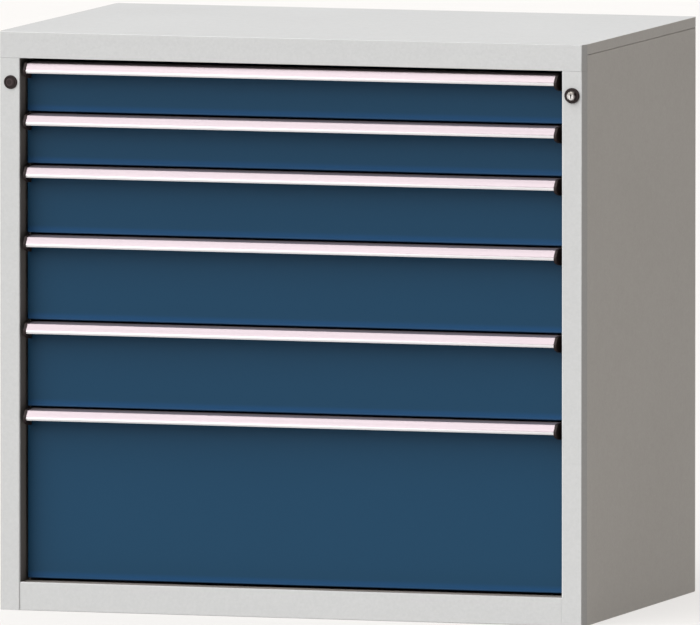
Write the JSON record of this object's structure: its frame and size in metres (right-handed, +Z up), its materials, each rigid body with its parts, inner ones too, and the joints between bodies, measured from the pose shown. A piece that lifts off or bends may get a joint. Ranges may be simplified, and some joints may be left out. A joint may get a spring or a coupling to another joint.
{
  "type": "modular drawer cabinet",
  "caption": "Low steel drawer cabinet: wide full-extension drawers of rising height with aluminium grip strips, a key lock and a flat top.",
  "frame": {"origin": "middle of the bounding box on the floor", "axes": "+Z up, +X to the right seen from the front, the drawers open towards -Y"},
  "size_m": [1.055, 0.689, 1],
  "materials": {
    "light_grey_paint": "fine smooth powder coat, satin",
    "blue_paint": "fine smooth powder coat, satin",
    "anodised_aluminium": "satin natural anodised, drawn along its length",
    "black_plastic": "fine matt",
    "bright_metal": "bright plated",
    "zinc_steel": "bright zinc plated"
  },
  "bodies": {
    "cabinet": {"top_cover": "light_grey_paint", "front_head_rail": "light_grey_paint", "right_front_post": "light_grey_paint", "left_front_post": "light_grey_paint", "front_bottom_rail": "light_grey_paint", "right_side_panel": "light_grey_paint", "left_side_panel": "light_grey_paint", "right_rear_post": "light_grey_paint", "left_rear_post": "light_grey_paint", "back_panel": "light_grey_paint", "floor_pan": "light_grey_paint", "rail_uprights": "light_grey_paint", "right_fixed_rails": "zinc_steel", "left_fixed_rails": "zinc_steel", "rail_screws": "zinc_steel", "slide_bearing_blocks": "black_plastic", "blank_cap": "black_plastic", "lock_housing": "black_plastic", "lock_collar": "bright_metal", "locking_bar_guides": "zinc_steel"},
    "drawer_1": {"drawer_1_front": "blue_paint", "drawer_1_tray": "blue_paint", "drawer_1_grip": "anodised_aluminium", "drawer_1_grip_end_caps": "black_plastic", "drawer_1_inner_rails": "zinc_steel"},
    "middle_rails_1": {"drawer_1_middle_rails": "zinc_steel"},
    "drawer_2": {"drawer_2_front": "blue_paint", "drawer_2_tray": "blue_paint", "drawer_2_grip": "anodised_aluminium", "drawer_2_grip_end_caps": "black_plastic", "drawer_2_inner_rails": "zinc_steel"},
    "middle_rails_2": {"drawer_2_middle_rails": "zinc_steel"},
    "drawer_3": {"drawer_3_front": "blue_paint", "drawer_3_tray": "blue_paint", "drawer_3_grip": "anodised_aluminium", "drawer_3_grip_end_caps": "black_plastic", "drawer_3_inner_rails": "zinc_steel"},
    "middle_rails_3": {"drawer_3_middle_rails": "zinc_steel"},
    "drawer_4": {"drawer_4_front": "blue_paint", "drawer_4_tray": "blue_paint", "drawer_4_grip": "anodised_aluminium", "drawer_4_grip_end_caps": "black_plastic", "drawer_4_inner_rails": "zinc_steel"},
    "middle_rails_4": {"drawer_4_middle_rails": "zinc_steel"},
    "drawer_5": {"drawer_5_front": "blue_paint", "drawer_5_tray": "blue_paint", "drawer_5_grip": "anodised_aluminium", "drawer_5_grip_end_caps": "black_plastic", "drawer_5_inner_rails": "zinc_steel"},
    "middle_rails_5": {"drawer_5_middle_rails": "zinc_steel"},
    "drawer_6": {"drawer_6_front": "blue_paint", "drawer_6_tray": "blue_paint", "drawer_6_grip": "anodised_aluminium", "drawer_6_grip_end_caps": "black_plastic", "drawer_6_inner_rails": "zinc_steel"},
    "middle_rails_6": {"drawer_6_middle_rails": "zinc_steel"},
    "lock": {"lock_barrel": "bright_metal", "lock_cam": "zinc_steel"},
    "locking_bar": {"locking_bar": "zinc_steel"}
  },
  "joints": [
    {"name": "drawer_1_slide", "type": "slide", "parent": "cabinet", "child": "drawer_1", "axis": [0, -1, 0], "range_m": [0, 0.6]},
    {"name": "drawer_2_slide", "type": "slide", "parent": "cabinet", "child": "drawer_2", "axis": [0, -1, 0], "range_m": [0, 0.6]},
    {"name": "drawer_3_slide", "type": "slide", "parent": "cabinet", "child": "drawer_3", "axis": [0, -1, 0], "range_m": [0, 0.6]},
    {"name": "drawer_4_slide", "type": "slide", "parent": "cabinet", "child": "drawer_4", "axis": [0, -1, 0], "range_m": [0, 0.6]},
    {"name": "drawer_5_slide", "type": "slide", "parent": "cabinet", "child": "drawer_5", "axis": [0, -1, 0], "range_m": [0, 0.6]},
    {"name": "drawer_6_slide", "type": "slide", "parent": "cabinet", "child": "drawer_6", "axis": [0, -1, 0], "range_m": [0, 0.6]},
    {"name": "middle_rails_1_slide", "type": "slide", "parent": "cabinet", "child": "middle_rails_1", "axis": [0, -1, 0], "range_m": [0, 0.3]},
    {"name": "middle_rails_2_slide", "type": "slide", "parent": "cabinet", "child": "middle_rails_2", "axis": [0, -1, 0], "range_m": [0, 0.3]},
    {"name": "middle_rails_3_slide", "type": "slide", "parent": "cabinet", "child": "middle_rails_3", "axis": [0, -1, 0], "range_m": [0, 0.3]},
    {"name": "middle_rails_4_slide", "type": "slide", "parent": "cabinet", "child": "middle_rails_4", "axis": [0, -1, 0], "range_m": [0, 0.3]},
    {"name": "middle_rails_5_slide", "type": "slide", "parent": "cabinet", "child": "middle_rails_5", "axis": [0, -1, 0], "range_m": [0, 0.3]},
    {"name": "middle_rails_6_slide", "type": "slide", "parent": "cabinet", "child": "middle_rails_6", "axis": [0, -1, 0], "range_m": [0, 0.3]},
    {"name": "key_turn", "type": "hinge", "parent": "cabinet", "child": "lock", "pos_m": [0.506, -0.3355, 0.913], "axis": [0, 1, 0], "range_deg": [0, 90]},
    {"name": "locking_bar_lift", "type": "slide", "parent": "cabinet", "child": "locking_bar", "axis": [0, 0, 1], "range_m": [0, 0.012]}
  ],
  "couplings": [
    {"joint": "middle_rails_1_slide", "follows": "drawer_1_slide", "ratio": 0.5},
    {"joint": "middle_rails_2_slide", "follows": "drawer_2_slide", "ratio": 0.5},
    {"joint": "middle_rails_3_slide", "follows": "drawer_3_slide", "ratio": 0.5},
    {"joint": "middle_rails_4_slide", "follows": "drawer_4_slide", "ratio": 0.5},
    {"joint": "middle_rails_5_slide", "follows": "drawer_5_slide", "ratio": 0.5},
    {"joint": "middle_rails_6_slide", "follows": "drawer_6_slide", "ratio": 0.5},
    {"joint": "key_turn", "follows": "locking_bar_lift", "rad_per_m": 130.67}
  ]
}
